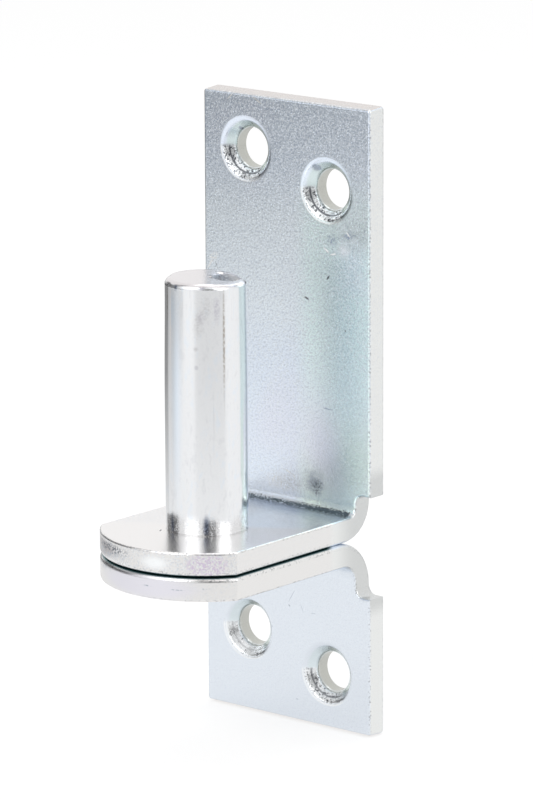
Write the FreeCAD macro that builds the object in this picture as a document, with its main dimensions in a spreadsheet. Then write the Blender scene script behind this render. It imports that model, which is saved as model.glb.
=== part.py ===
import FreeCAD, Part
import math
import os

import Sketcher
from FreeCAD import Placement, Rotation, Vector

# Hook on plate: two bent sheets laid tongue on tongue, with a riveted pin standing on them.
# The pin's axis is Z, and the origin is where it meets the upper tongue. The wall is on the +Y side.

sizes = {
    # both sheets
    "plate_width": 35,
    "sheet_thickness": 4,
    "pin_to_plate": 20,  # from the pin's axis to the front of the upright plates
    "upper_height": 67,  # from the upper tongue's top face to the top of its plate
    "lower_height": 28.5,  # from the lower tongue's underside to the bottom of its plate
    "upper_inner_radius": 1.5,  # at the bend; the press thins the sheet there, so the outside has its own
    "upper_outer_radius": 6.2,
    "lower_inner_radius": 3,
    "lower_outer_radius": 8,
    "upper_neck_height": 0.5,  # straight stretch between the bend and the hollow relief corner
    "lower_neck_height": 1,
    "relief_radius": 1.5,
    "shoulder_flat": 1.5,
    "tongue_end_excess": 2.8,  # by which the end arc's radius passes half the tongue's width
    "plate_corner_radius": 0.5,
    "tongue_corner_radius": 0.5,
    "rolled_edge_radius": 0.9,  # soft edge that the press leaves all round the outer side
    "softened_edge_radius": 0.4,  # all round the inner side
    "sheared_end_slant": 5,  # degrees; the plate's end is not cut quite square
    # screw holes
    "screw_hole_diameter": 6.6,
    "countersink_diameter": 10,
    "countersink_angle": 90,
    "countersink_rim_rounding": 1.2,
    "countersink_throat_rounding": 1.2,  # where the countersink meets the straight hole
    "hole_spacing_across": 17,
    "outer_hole_margin": 9,  # from the plate's end to the nearer hole
    "inner_hole_margin": 14,
    # pin
    "pin_diameter": 13,
    "pin_height": 41,
    "pin_end_rounding": 1,
    "tenon_diameter": 9,
    "tenon_clearance": 0.1,  # on the diameter, in both tongues
    "rivet_head_diameter": 12,
}

# what follows from those sizes
tongue_width = "sizes.plate_width - 2 * (sizes.relief_radius + sizes.shoulder_flat)"
tongue_end_radius = "(%s) / 2 + sizes.tongue_end_excess" % tongue_width
tenon_hole_diameter = "sizes.tenon_diameter + sizes.tenon_clearance"
rivet_head_overhang = "(sizes.rivet_head_diameter - sizes.tenon_diameter) / 2"
rivet_head_depth = "%s / tan(sizes.countersink_angle * 1 deg / 2)" % rivet_head_overhang
screw_head_overhang = "(sizes.countersink_diameter - sizes.screw_hole_diameter) / 2"
screw_head_depth = "%s / tan(sizes.countersink_angle * 1 deg / 2)" % screw_head_overhang
back_of_plate = "sizes.pin_to_plate + sizes.sheet_thickness"

# what differs between the two sheets
upper_form = {
    "height": "sizes.upper_height",
    "inner_radius": "sizes.upper_inner_radius",
    "outer_radius": "sizes.upper_outer_radius",
    "neck_height": "sizes.upper_neck_height",
}
lower_form = {
    "height": "sizes.lower_height",
    "inner_radius": "sizes.lower_inner_radius",
    "outer_radius": "sizes.lower_outer_radius",
    "neck_height": "sizes.lower_neck_height",
}

start, end, centre = range(1, 4)  # a sketch's own numbers for the points of a line or an arc
x_axis, y_axis = range(-1, -3, -1)  # and for its two axes
origin_point = (x_axis, start)
near = 1e-4  # mm within which points count as the same

doc = FreeCAD.newDocument("HookOnPlate")
sheet = doc.addObject("Spreadsheet::Sheet", "sizes")
for row, (alias, number) in enumerate(sizes.items(), start=1):
    sheet.set("A%d" % row, alias)
    sheet.set("B%d" % row, str(number))
    sheet.setAlias("B%d" % row, alias)
doc.recompute()


def amount(expression):
    value = sheet.evalExpression(expression)
    return float(getattr(value, "Value", value))


def new_sketch(body, name, role, offset=None):
    """A sketch on one of the body's origin planes, moved along the plane's normal."""
    sketch = body.newObject("Sketcher::SketchObject", name)
    plane = next(item for item in body.Origin.OriginFeatures if item.Role == role)
    sketch.AttachmentSupport = [(plane, "")]
    sketch.MapMode = "FlatFace"
    if offset:
        sketch.setExpression(".AttachmentOffset.Base.z", offset)
    return sketch


def rule(sketch, kind, *points):
    sketch.addConstraint(Sketcher.Constraint(kind, *points))


def measure(sketch, name, kind, points, expression):
    """A dimension that follows an expression on the sheet."""
    index = sketch.addConstraint(Sketcher.Constraint(kind, *points, amount(expression)))
    sketch.renameConstraint(index, name)
    sketch.setExpression("Constraints." + name, expression)


def closed_path(sketch, pieces):
    """Joins pieces end to end: (geometry, first point, last point, how it meets the next piece)."""
    for geometry, _, _, _ in pieces:
        sketch.addGeometry(geometry, False)
    for index, (_, _, last, join) in enumerate(pieces):
        following = (index + 1) % len(pieces)
        rule(sketch, join, index, last, following, pieces[following][1])


def line(x1, y1, x2, y2):
    return Part.LineSegment(Vector(x1, y1, 0), Vector(x2, y2, 0))


def arc(x, y, radius, from_degrees, to_degrees):
    circle = Part.Circle(Vector(x, y, 0), Vector(0, 0, 1), radius)
    return Part.ArcOfCircle(circle, math.radians(from_degrees), math.radians(to_degrees))


def pad(body, name, sketch, length, reverse=False, symmetric=False):
    feature = body.newObject("PartDesign::Pad", name)
    feature.Profile = sketch
    feature.Reversed = reverse
    if symmetric:
        feature.SideType = "Symmetric"
    feature.setExpression("Length", length)
    doc.recompute()
    return feature


def pocket(body, name, sketch):
    """Cuts the sketch's area out of the body's whole width."""
    before = body.Tip.Shape.Volume
    feature = body.newObject("PartDesign::Pocket", name)
    feature.Profile = sketch
    feature.Type = "ThroughAll"
    feature.SideType = "Symmetric"
    doc.recompute()
    if feature.Shape.Volume >= before:
        raise RuntimeError("%s of %s cuts nothing" % (name, body.Label))
    return feature


def fillet(body, name, edges, radius):
    base = body.Tip
    feature = body.newObject("PartDesign::Fillet", name)
    feature.Base = (base, edges)
    feature.setExpression("Radius", radius)
    doc.recompute()
    return feature


def edges_where(shape, test):
    return ["Edge%d" % number for number, edge in enumerate(shape.Edges, start=1) if test(edge)]


def samples(edge, count=7):
    first, last = edge.ParameterRange
    return [edge.valueAt(first + (last - first) * step / (count - 1)) for step in range(count)]


def plate_outline(body, form):
    """The upright plate seen from the front: full width, then shoulders, hollow reliefs and the neck."""
    half_width = amount("sizes.plate_width / 2")
    half_tongue = amount(tongue_width) / 2
    relief = amount("sizes.relief_radius")
    shoulder = "%s + %s + sizes.relief_radius" % (form["inner_radius"], form["neck_height"])
    top, low, bottom = amount(form["height"]), amount(shoulder), amount(form["inner_radius"])
    corner = half_tongue + relief

    sketch = new_sketch(body, "plate_outline", "XZ_Plane", "-sizes.pin_to_plate")
    closed_path(sketch, [
        (line(-half_width, top, half_width, top), start, end, "Coincident"),
        (line(half_width, top, half_width, low), start, end, "Coincident"),
        (line(half_width, low, corner, low), start, end, "Tangent"),
        (arc(corner, low - relief, relief, 90, 180), start, end, "Tangent"),
        (line(half_tongue, low - relief, half_tongue, bottom), start, end, "Coincident"),
        (line(half_tongue, bottom, -half_tongue, bottom), start, end, "Coincident"),
        (line(-half_tongue, bottom, -half_tongue, low - relief), start, end, "Tangent"),
        (arc(-corner, low - relief, relief, 0, 90), start, end, "Tangent"),
        (line(-corner, low, -half_width, low), start, end, "Coincident"),
        (line(-half_width, low, -half_width, top), start, end, "Coincident"),
    ])
    for side in (1, 4, 6, 9):
        rule(sketch, "Vertical", side)
    for shoulder_line in (2, 8):
        rule(sketch, "Horizontal", shoulder_line)
    rule(sketch, "Symmetric", 0, start, 0, end, y_axis)
    rule(sketch, "Symmetric", 5, start, 5, end, y_axis)
    rule(sketch, "Equal", 3, 7)
    measure(sketch, "width", "DistanceX", (0, start, 0, end), "sizes.plate_width")
    measure(sketch, "neck_width", "DistanceX", (5, end, 5, start), tongue_width)
    measure(sketch, "relief", "Radius", (3,), "sizes.relief_radius")
    measure(sketch, "top", "DistanceY", (*origin_point, 0, start), form["height"])
    measure(sketch, "shoulder_right", "DistanceY", (*origin_point, 2, start), shoulder)
    measure(sketch, "shoulder_left", "DistanceY", (*origin_point, 8, start), shoulder)
    measure(sketch, "bend_end", "DistanceY", (*origin_point, 5, start), form["inner_radius"])
    return sketch


def bend_section(body, form):
    """The corner between tongue and plate, seen from the side: round inside, and still square outside."""
    inside = amount(form["inner_radius"])
    thickness = amount("sizes.sheet_thickness")
    front, back = amount("sizes.pin_to_plate"), amount(back_of_plate)

    sketch = new_sketch(body, "bend_section", "YZ_Plane")
    closed_path(sketch, [
        (arc(front - inside, inside, inside, -90, 0), start, end, "Coincident"),
        (line(front, inside, back, inside), start, end, "Coincident"),
        (line(back, inside, back, -thickness), start, end, "Coincident"),
        (line(back, -thickness, front - inside, -thickness), start, end, "Coincident"),
        (line(front - inside, -thickness, front - inside, 0), start, end, "Coincident"),
    ])
    for level in (1, 3):
        rule(sketch, "Horizontal", level)
    for side in (2, 4):
        rule(sketch, "Vertical", side)
    rule(sketch, "Horizontal", 0, end, 0, centre)
    rule(sketch, "Vertical", 0, start, 0, centre)
    measure(sketch, "inside", "Radius", (0,), form["inner_radius"])
    measure(sketch, "from_pin", "DistanceX", (*origin_point, 0, end), "sizes.pin_to_plate")
    measure(sketch, "level", "DistanceY", (*origin_point, 0, centre), form["inner_radius"])
    measure(sketch, "thickness_across", "DistanceX", (1, start, 1, end), "sizes.sheet_thickness")
    measure(sketch, "thickness_down", "DistanceY", (4, start, 4, end), "sizes.sheet_thickness")
    return sketch


def outer_bend_section(body, form):
    """What lies outside the bend's outer arc, out past the square corner."""
    radius = amount(form["outer_radius"])
    thickness = amount("sizes.sheet_thickness")
    back = amount(back_of_plate)
    beyond, below = back + thickness, -2 * thickness

    sketch = new_sketch(body, "outer_bend_section", "YZ_Plane")
    closed_path(sketch, [
        (arc(back - radius, radius - thickness, radius, -90, 0), start, end, "Coincident"),
        (line(back, radius - thickness, beyond, radius - thickness), start, end, "Coincident"),
        (line(beyond, radius - thickness, beyond, below), start, end, "Coincident"),
        (line(beyond, below, back - radius, below), start, end, "Coincident"),
        (line(back - radius, below, back - radius, -thickness), start, end, "Coincident"),
    ])
    for level in (1, 3):
        rule(sketch, "Horizontal", level)
    for side in (2, 4):
        rule(sketch, "Vertical", side)
    rule(sketch, "Horizontal", 0, end, 0, centre)
    rule(sketch, "Vertical", 0, start, 0, centre)
    measure(sketch, "outside", "Radius", (0,), form["outer_radius"])
    measure(sketch, "from_pin", "DistanceX", (*origin_point, 0, end), back_of_plate)
    measure(sketch, "level", "DistanceY", (0, start, *origin_point), "sizes.sheet_thickness")
    measure(sketch, "beyond", "DistanceX", (1, start, 1, end), "sizes.sheet_thickness")
    measure(sketch, "below", "DistanceY", (4, start, 4, end), "sizes.sheet_thickness")
    return sketch


def tongue_outline(body, form):
    """The tongue seen from above: straight sides and an end arc about the pin's axis."""
    half_tongue = amount(tongue_width) / 2
    radius = amount(tongue_end_radius)
    turn = math.degrees(math.asin(half_tongue / radius))
    front = -math.sqrt(radius ** 2 - half_tongue ** 2)
    back_place = "sizes.pin_to_plate - " + form["inner_radius"]
    back = amount(back_place)

    sketch = new_sketch(body, "tongue_outline", "XY_Plane")
    closed_path(sketch, [
        (arc(0, 0, radius, 270 - turn, 270 + turn), start, end, "Coincident"),
        (line(half_tongue, front, half_tongue, back), start, end, "Coincident"),
        (line(half_tongue, back, -half_tongue, back), start, end, "Coincident"),
        (line(-half_tongue, back, -half_tongue, front), start, end, "Coincident"),
    ])
    rule(sketch, "Coincident", 0, centre, *origin_point)
    rule(sketch, "Vertical", 1)
    rule(sketch, "Vertical", 3)
    rule(sketch, "Symmetric", 2, start, 2, end, y_axis)
    measure(sketch, "end_radius", "Radius", (0,), tongue_end_radius)
    measure(sketch, "width", "DistanceX", (2, end, 2, start), tongue_width)
    measure(sketch, "back", "DistanceY", (*origin_point, 2, start), back_place)
    return sketch


def countersunk_hole(body, name, sketch, diameter, head_diameter=None):
    feature = body.newObject("PartDesign::Hole", name)
    feature.Profile = sketch
    doc.recompute()
    feature.DepthType = "ThroughAll"
    feature.setExpression("Diameter", diameter)
    if head_diameter:
        feature.HoleCutType = "Countersink"
        feature.HoleCutCustomValues = True
        feature.setExpression("HoleCutDiameter", head_diameter)
        feature.setExpression("HoleCutCountersinkAngle", "sizes.countersink_angle")
    doc.recompute()
    return feature


def screw_holes(body, form):
    """Two countersunk holes, staggered: the left one nearer the plate's end than the right one."""
    sketch = new_sketch(body, "screw_hole_places", "XZ_Plane", "-sizes.pin_to_plate")
    radius = amount("sizes.screw_hole_diameter / 2")
    places = {
        "left": (-1, "%s - sizes.outer_hole_margin" % form["height"]),
        "right": (1, "%s - sizes.inner_hole_margin" % form["height"]),
    }
    for index, (name, (side, level)) in enumerate(places.items()):
        across = amount("sizes.hole_spacing_across / 2")
        centre_point = Vector(side * across, amount(level), 0)
        sketch.addGeometry(Part.Circle(centre_point, Vector(0, 0, 1), radius), False)
        from_middle = (index, centre, *origin_point) if side < 0 else (*origin_point, index, centre)
        measure(sketch, name + "_across", "DistanceX", from_middle, "sizes.hole_spacing_across / 2")
        measure(sketch, name + "_level", "DistanceY", (*origin_point, index, centre), level)
        measure(sketch, name + "_radius", "Radius", (index,), "sizes.screw_hole_diameter / 2")
    diameter, head_diameter = "sizes.screw_hole_diameter", "sizes.countersink_diameter"
    countersunk_hole(body, "screw_holes", sketch, diameter, head_diameter)
    soft_holes(body)


def soft_holes(body):
    """Rounds the rim of each countersink, and the edge where it meets the straight hole."""
    front = amount("sizes.pin_to_plate")
    throat = front + amount(screw_head_depth)

    def circles(depth, diameter):
        def is_circle(edge):
            box = edge.BoundBox
            is_there = abs(box.YMin - depth) < near and abs(box.YMax - depth) < near
            return is_there and all(abs(side - diameter) < near for side in (box.XLength, box.ZLength))
        return edges_where(body.Tip.Shape, is_circle)

    rims = circles(front, amount("sizes.countersink_diameter"))
    fillet(body, "countersink_rims", rims, "sizes.countersink_rim_rounding")
    throats = circles(throat, amount("sizes.screw_hole_diameter"))
    fillet(body, "countersink_throats", throats, "sizes.countersink_throat_rounding")


def tenon_hole(body, head_diameter):
    sketch = new_sketch(body, "tenon_hole_place", "XY_Plane")
    radius = amount(tenon_hole_diameter) / 2
    sketch.addGeometry(Part.Circle(Vector(0, 0, 0), Vector(0, 0, 1), radius), False)
    rule(sketch, "Coincident", 0, centre, *origin_point)
    measure(sketch, "radius", "Radius", (0,), "(%s) / 2" % tenon_hole_diameter)
    return countersunk_hole(body, "tenon_hole", sketch, tenon_hole_diameter, head_diameter)


def sheared_end(body, form):
    """Slants the plate's sheared end about its front edge, so that it rises a little towards the wall."""
    top, front = amount(form["height"]), amount("sizes.pin_to_plate")
    base = body.Tip
    boxes = {"Face%d" % number: face.BoundBox for number, face in enumerate(base.Shape.Faces, start=1)}
    end_face = next(name for name, box in boxes.items() if abs(box.ZMin - top) < near)
    front_face = next(
        name for name, box in boxes.items() if box.YLength < near and abs(box.YMax - front) < near)
    feature = body.newObject("PartDesign::Draft", "sheared_end")
    doc.recompute()
    feature.Base = (base, [end_face])
    feature.NeutralPlane = (base, [front_face])
    feature.Reversed = True
    feature.setExpression("Angle", "sizes.sheared_end_slant")
    doc.recompute()
    return feature


def rounded_corners(body, form):
    """The plate's end corners, and the corners where the tongue's sides meet its end arc."""
    half_width = amount("sizes.plate_width / 2")
    half_tongue = amount(tongue_width) / 2
    top = amount(form["height"])

    def runs_at(edge, x):
        return abs(abs(edge.BoundBox.Center.x) - x) < near and edge.BoundBox.XLength < near

    def at_plate_end(edge):
        return runs_at(edge, half_width) and edge.BoundBox.ZMin > top - near

    def at_tongue_end(edge):
        return runs_at(edge, half_tongue) and edge.BoundBox.YMax < 0 and edge.BoundBox.YLength < near

    fillet(body, "plate_corners", edges_where(body.Tip.Shape, at_plate_end), "sizes.plate_corner_radius")
    fillet(body, "tongue_corners", edges_where(body.Tip.Shape, at_tongue_end), "sizes.tongue_corner_radius")


def soft_edges(body, form):
    """Rolls the edge all round the sheet's outer side, and softens the one round its inner side."""
    thickness = amount("sizes.sheet_thickness")
    front, back = amount("sizes.pin_to_plate"), amount(back_of_plate)
    inside, outside = amount(form["inner_radius"]), amount(form["outer_radius"])

    def on_side(point, level, depth, radius):
        """Whether a point lies on the tongue's face, the plate's face or the bend's arc between them."""
        middle_y, middle_z = depth - radius, level + radius
        if point.y <= middle_y:
            return abs(point.z - level) < near
        if point.z >= middle_z:
            return abs(point.y - depth) < near
        return abs(math.hypot(point.y - middle_y, point.z - middle_z) - radius) < near

    def rim(level, depth, radius):
        """Edges of that side that bound it, without the lines across it where the bend begins and ends."""
        def is_rim(edge):
            box = edge.BoundBox
            at_bend = abs(box.Center.y - depth + radius) < near or abs(box.Center.z - level - radius) < near
            crosses = at_bend and box.YLength < near and box.ZLength < near
            return not crosses and all(on_side(point, level, depth, radius) for point in samples(edge))
        return edges_where(body.Tip.Shape, is_rim)

    fillet(body, "rolled_edges", rim(-thickness, back, outside), "sizes.rolled_edge_radius")
    fillet(body, "softened_edges", rim(0, front, inside), "sizes.softened_edge_radius")


def bent_sheet(name, form, rivet_head=None):
    """One pressed sheet, as it stands with its plate upwards and its tongue's upper face at Z = 0."""
    body = doc.addObject("PartDesign::Body", name)
    body.Label = name
    pad(body, "plate", plate_outline(body, form), "sizes.sheet_thickness", reverse=True)
    pad(body, "bend", bend_section(body, form), tongue_width, symmetric=True)
    pad(body, "tongue", tongue_outline(body, form), "sizes.sheet_thickness", reverse=True)
    pocket(body, "outer_bend", outer_bend_section(body, form))
    sheared_end(body, form)
    rounded_corners(body, form)
    soft_edges(body, form)
    screw_holes(body, form)
    tenon_hole(body, rivet_head)
    return body


def pintle():
    """Pin, tenon and rivet head, turned about Z."""
    radius = amount("sizes.pin_diameter / 2")
    tenon = amount("sizes.tenon_diameter / 2")
    head = amount("sizes.rivet_head_diameter / 2")
    bottom = amount("-2 * sizes.sheet_thickness")
    top = amount("sizes.pin_height")
    neck = bottom + amount(rivet_head_depth)

    body = doc.addObject("PartDesign::Body", "pintle_pin")
    body.Label = "pintle_pin"
    sketch = new_sketch(body, "half_profile", "XZ_Plane")
    closed_path(sketch, [
        (line(0, bottom, head, bottom), start, end, "Coincident"),
        (line(head, bottom, tenon, neck), start, end, "Coincident"),
        (line(tenon, neck, tenon, 0), start, end, "Coincident"),
        (line(tenon, 0, radius, 0), start, end, "Coincident"),
        (line(radius, 0, radius, top), start, end, "Coincident"),
        (line(radius, top, 0, top), start, end, "Coincident"),
        (line(0, top, 0, bottom), start, end, "Coincident"),
    ])
    for level in (0, 3, 5):
        rule(sketch, "Horizontal", level)
    for side in (2, 4):
        rule(sketch, "Vertical", side)
    rule(sketch, "PointOnObject", 6, start, y_axis)
    rule(sketch, "PointOnObject", 6, end, y_axis)
    rule(sketch, "PointOnObject", 3, start, x_axis)
    measure(sketch, "head_radius", "DistanceX", (0, start, 0, end), "sizes.rivet_head_diameter / 2")
    measure(sketch, "tenon_radius", "DistanceX", (*origin_point, 3, start), "sizes.tenon_diameter / 2")
    measure(sketch, "pin_radius", "DistanceX", (5, end, 5, start), "sizes.pin_diameter / 2")
    measure(sketch, "pin_top", "DistanceY", (*origin_point, 5, end), "sizes.pin_height")
    measure(sketch, "head_bottom", "DistanceY", (0, start, *origin_point), "2 * sizes.sheet_thickness")
    measure(sketch, "head_depth", "DistanceY", (0, end, 1, end), rivet_head_depth)

    turned = body.newObject("PartDesign::Revolution", "turned")
    turned.Profile = sketch
    turned.ReferenceAxis = (sketch, ["V_Axis"])
    turned.Angle = 360
    doc.recompute()

    def is_top_rim(edge):
        return edge.BoundBox.ZMin > top - near and edge.BoundBox.XLength > radius

    fillet(body, "rounded_end", edges_where(turned.Shape, is_top_rim), "sizes.pin_end_rounding")
    return body


upper_plate = bent_sheet("upper_plate", upper_form)
lower_plate = bent_sheet("lower_plate", lower_form, "sizes.rivet_head_diameter")
pintle_pin = pintle()

# the lower sheet is turned over about Y, so that its tongue lies flat under the upper one
turned_over = Rotation(Vector(0, 1, 0), 180)
lower_plate.Placement = Placement(Vector(0, 0, -2 * amount("sizes.sheet_thickness")), turned_over)
lower_plate.setExpression(".Placement.Base.z", "-2 * sizes.sheet_thickness")
doc.recompute()

for item in doc.Objects:
    faults = {"Invalid", "Error"} & set(item.State)
    if faults:
        raise RuntimeError("%s is %s" % (item.Label, ", ".join(sorted(faults))))

pieces = [upper_plate, lower_plate, pintle_pin]
for piece in pieces:
    if piece.Shape.isNull() or not piece.Shape.isValid() or len(piece.Shape.Solids) != 1:
        raise RuntimeError("%s has no sound solid" % piece.Label)

os.makedirs("parts", exist_ok=True)
for piece in pieces:
    piece.Shape.exportStep("parts/%s.step" % piece.Label)
    box = piece.Shape.optimalBoundingBox()
    print("%-12s %9.1f mm3   X %.2f..%.2f  Y %.2f..%.2f  Z %.2f..%.2f" % (
        piece.Label, piece.Shape.Volume, box.XMin, box.XMax, box.YMin, box.YMax, box.ZMin, box.ZMax))
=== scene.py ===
import math

import bmesh
import bpy
from mathutils import Matrix, Vector, noise


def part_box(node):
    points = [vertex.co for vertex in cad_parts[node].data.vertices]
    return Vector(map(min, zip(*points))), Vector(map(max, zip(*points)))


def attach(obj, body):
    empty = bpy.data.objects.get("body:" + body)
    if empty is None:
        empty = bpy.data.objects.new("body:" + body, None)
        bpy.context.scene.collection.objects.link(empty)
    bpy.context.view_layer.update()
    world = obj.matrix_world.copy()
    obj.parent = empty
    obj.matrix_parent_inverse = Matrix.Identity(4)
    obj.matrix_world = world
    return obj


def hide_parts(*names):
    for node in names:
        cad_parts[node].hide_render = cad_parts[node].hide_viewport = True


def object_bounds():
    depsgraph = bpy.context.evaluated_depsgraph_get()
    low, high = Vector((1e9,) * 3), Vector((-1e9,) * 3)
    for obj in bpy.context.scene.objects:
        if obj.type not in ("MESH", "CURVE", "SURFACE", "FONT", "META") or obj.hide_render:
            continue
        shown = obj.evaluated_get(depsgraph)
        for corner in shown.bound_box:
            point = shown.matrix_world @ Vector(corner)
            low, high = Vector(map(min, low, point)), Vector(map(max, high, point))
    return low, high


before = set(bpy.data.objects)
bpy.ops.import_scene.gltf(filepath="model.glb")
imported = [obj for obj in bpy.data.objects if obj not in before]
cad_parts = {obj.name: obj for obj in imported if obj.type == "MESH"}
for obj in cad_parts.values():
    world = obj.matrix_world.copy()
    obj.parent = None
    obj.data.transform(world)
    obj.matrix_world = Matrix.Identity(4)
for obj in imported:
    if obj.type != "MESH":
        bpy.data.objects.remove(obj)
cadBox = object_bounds()
millimetre = 0.001
print("frame loaded:", ", ".join(sorted(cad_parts)))


# camera, at the photograph's place

cameraFit = {
    "azimuth": 40.2973,  # degrees from straight in front, towards the right
    "elevation": 12.9202,
    "roll": -0.2726,
    "distance": 804.3,  # mm
    "target": (12.81, 0.0, 22.23),
    "clip": (50.0, 20000.0),
    "focalLength": 5076.2933,  # in pixels of the photograph
    "shiftRight": 0.8084,
    "shiftDown": 3.1813,
    "longSide": 800,
    "sensor": 36.0,
}


def direction(azimuth, elevation=0.0):  # in degrees, as the camera's
    turned, raised = math.radians(azimuth), math.radians(elevation)
    return Vector((
        math.sin(turned) * math.cos(raised),
        -math.cos(turned) * math.cos(raised),
        math.sin(raised),
    ))


def aimedFrom(place, away):  # at a place in millimetres, looking back along a direction
    turn = (-away).to_track_quat("-Z", "Y").to_matrix().to_4x4()
    return Matrix.Translation(place * millimetre) @ turn


def makeCamera(fit):
    data = bpy.data.cameras.new("camera")
    data.sensor_width = fit["sensor"]
    data.lens = fit["focalLength"] * fit["sensor"] / fit["longSide"]
    data.shift_x = -fit["shiftRight"] / fit["longSide"]
    data.shift_y = fit["shiftDown"] / fit["longSide"]
    data.clip_start, data.clip_end = (length * millimetre for length in fit["clip"])
    camera = bpy.data.objects.new("camera", data)
    bpy.context.scene.collection.objects.link(camera)
    away = direction(fit["azimuth"], fit["elevation"])
    roll = Matrix.Rotation(math.radians(fit["roll"]), 4, "Z")
    camera.matrix_world = aimedFrom(Vector(fit["target"]) + away * fit["distance"], away) @ roll
    bpy.context.scene.camera = camera


makeCamera(cameraFit)
bpy.context.scene.view_settings.view_transform = "Standard"
print("camera placed")


# shader expressions

class Wire:  # an output socket that can stand in a sum
    def __init__(self, finish, socket):
        self.finish = finish
        self.socket = socket

    def maths(self, operation, *values):
        return self.finish.node("Math", {"operation": operation}, dict(enumerate(values)))

    def __add__(self, other):
        return self.maths("ADD", self, other)

    def __radd__(self, other):
        return self.maths("ADD", other, self)

    def __sub__(self, other):
        return self.maths("SUBTRACT", self, other)

    def __rsub__(self, other):
        return self.maths("SUBTRACT", other, self)

    def __mul__(self, other):
        return self.maths("MULTIPLY", self, other)

    def __rmul__(self, other):
        return self.maths("MULTIPLY", other, self)

    def __truediv__(self, other):
        return self.maths("DIVIDE", self, other)

    def __rtruediv__(self, other):
        return self.maths("DIVIDE", other, self)

    def __pow__(self, other):
        return self.maths("POWER", self, other)

    def __rpow__(self, other):
        return self.maths("POWER", other, self)

    def __abs__(self):
        return self.maths("ABSOLUTE", self)


raggedNoise = (0.7, 3.0, 0.6)  # how fine per millimetre, detail and roughness, as for every noise below
softCore = 0.5  # a mark is full in this share of its size, if it says nothing else


class Finish:  # a node tree that is written as expressions
    def __init__(self, owner):
        owner.use_nodes = True
        self.owner = owner
        self.tree = owner.node_tree
        self.tree.nodes.clear()

    def node(self, kind, settings=None, sockets=None, output=0):
        made = self.tree.nodes.new("ShaderNode" + kind)
        for name, value in (settings or {}).items():
            setattr(made, name, value)
        for name, value in (sockets or {}).items():
            if isinstance(value, Wire):
                self.tree.links.new(value.socket, made.inputs[name])
            else:
                made.inputs[name].default_value = value
        return Wire(self, made.outputs[output]) if made.outputs else made

    def place(self):  # the point's own place, in millimetres
        point = self.node("TexCoord", output="Object")
        return self.node("VectorMath", {"operation": "SCALE"}, {0: point, "Scale": 1 / millimetre})

    def facing(self):  # the direction the surface faces, as three values
        return self.parts(self.node("TexCoord", output="Normal"))

    def parts(self, vector):
        made = self.node("SeparateXYZ", sockets={0: vector}).socket.node
        return [Wire(self, made.outputs[axis]) for axis in range(3)]

    def stretched(self, vector, shares):
        return self.node("VectorMath", {"operation": "MULTIPLY"}, {0: vector, 1: shares})

    def spot(self, point, mark):  # 1 in the middle of a mark, 0 outside it
        away = self.node("VectorMath", {"operation": "SUBTRACT"}, {0: point, 1: mark["at"]})
        if "turn" in mark:
            angle = math.radians(mark["turn"])
            turned = {"Vector": away, "Axis": mark.get("about", (0, 1, 0)), "Angle": angle}
            away = self.node("VectorRotate", {"rotation_type": "AXIS_ANGLE"}, turned)
        share = self.node("VectorMath", {"operation": "DIVIDE"}, {0: away, 1: mark["size"]})
        reach = self.node("VectorMath", {"operation": "LENGTH"}, {0: share}, "Value")
        if "ragged" in mark:
            reach = reach + self.swing(point, raggedNoise) * mark["ragged"]
        return self.fade(reach, 1.0, mark.get("core", softCore))

    def most(self, first, second):
        return first.maths("MAXIMUM", first, second)

    def fade(self, value, low, high, start=0.0, end=1.0):
        settings = {"interpolation_type": "SMOOTHSTEP"}
        return self.node("MapRange", settings, {0: value, 1: low, 2: high, 3: start, 4: end})

    def noise(self, vector, look):
        perMillimetre, detail, rough = look
        sockets = {"Vector": vector, "Scale": perMillimetre, "Detail": detail, "Roughness": rough}
        return self.node("TexNoise", None, sockets)

    def swing(self, vector, look):  # a noise that goes to both sides of nought
        return self.noise(vector, look) - 0.5

    def blended(self, mask, first, second):
        return self.node("Mix", {"data_type": "RGBA"}, {0: mask, 6: first, 7: second}, 2)

    def lit(self, colour, strength):
        return self.node("Emission", sockets={"Color": colour, "Strength": strength})

    def shaded(self, mask, first, second):
        return self.node("MixShader", sockets={0: mask, 1: first, 2: second})

    def surface(self, shader):
        kind = "OutputWorld" if isinstance(self.owner, bpy.types.World) else "OutputMaterial"
        self.node(kind, sockets={"Surface": shader})
        return self.owner

    # camera rays, and then those together with glossy and transmission rays, which see white too
    def shownRays(self):
        path = self.node("LightPath").socket.node
        camera, glossy, through = (
            Wire(self, path.outputs["Is %s Ray" % name]) for name in ("Camera", "Glossy", "Transmission")
        )
        return camera, self.most(self.most(camera, glossy), through)


# studio: world, floor, lamps and dark cards that only show in reflections

white = (1.0, 1.0, 1.0, 1.0)

studio = {
    "skyLight": 0.70,  # what matt surfaces get from the world
    "floorGap": 0.15,  # mm under the lowest point
    "floorRadius": 3000.0,
    "floorSides": 64,
    "floorGlow": 0.60,  # the part of the floor's white that shadows don't reach
    "floorExtra": 0.06,  # more of it for the camera, so that the floor is white to its far edge
    "floorColour": 0.42,
    "plainColour": (0.8, 0.8, 0.8, 1.0),  # what the floor sends back to matt surfaces
    "pool": (340.0, 520.0),  # the floor's light falls off between these radii, in front of the part
    "poolDepth": 0.85,
    "poolAzimuth": -72.0,
    "poolSides": (0.60, 0.80),
    "lobes": (90.0, 330.0),  # the dark lobes grow between these radii
    "lampDistance": 900.0,
    "cardDistance": 1500.0,
    "cardGrid": (8, 4),
}

# where the floor is darker, a painted shade that only reflections see: half the angle that a lobe takes,
# outside and inside its soft edge
floorLobes = [
    {"azimuth": -120.0, "reach": (78, 52), "depth": 0.30},
    {"azimuth": -127.0, "reach": (41, 34), "depth": 0.56},
    {"azimuth": 53.0, "reach": (50, 34), "depth": 0.20},
]

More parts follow.
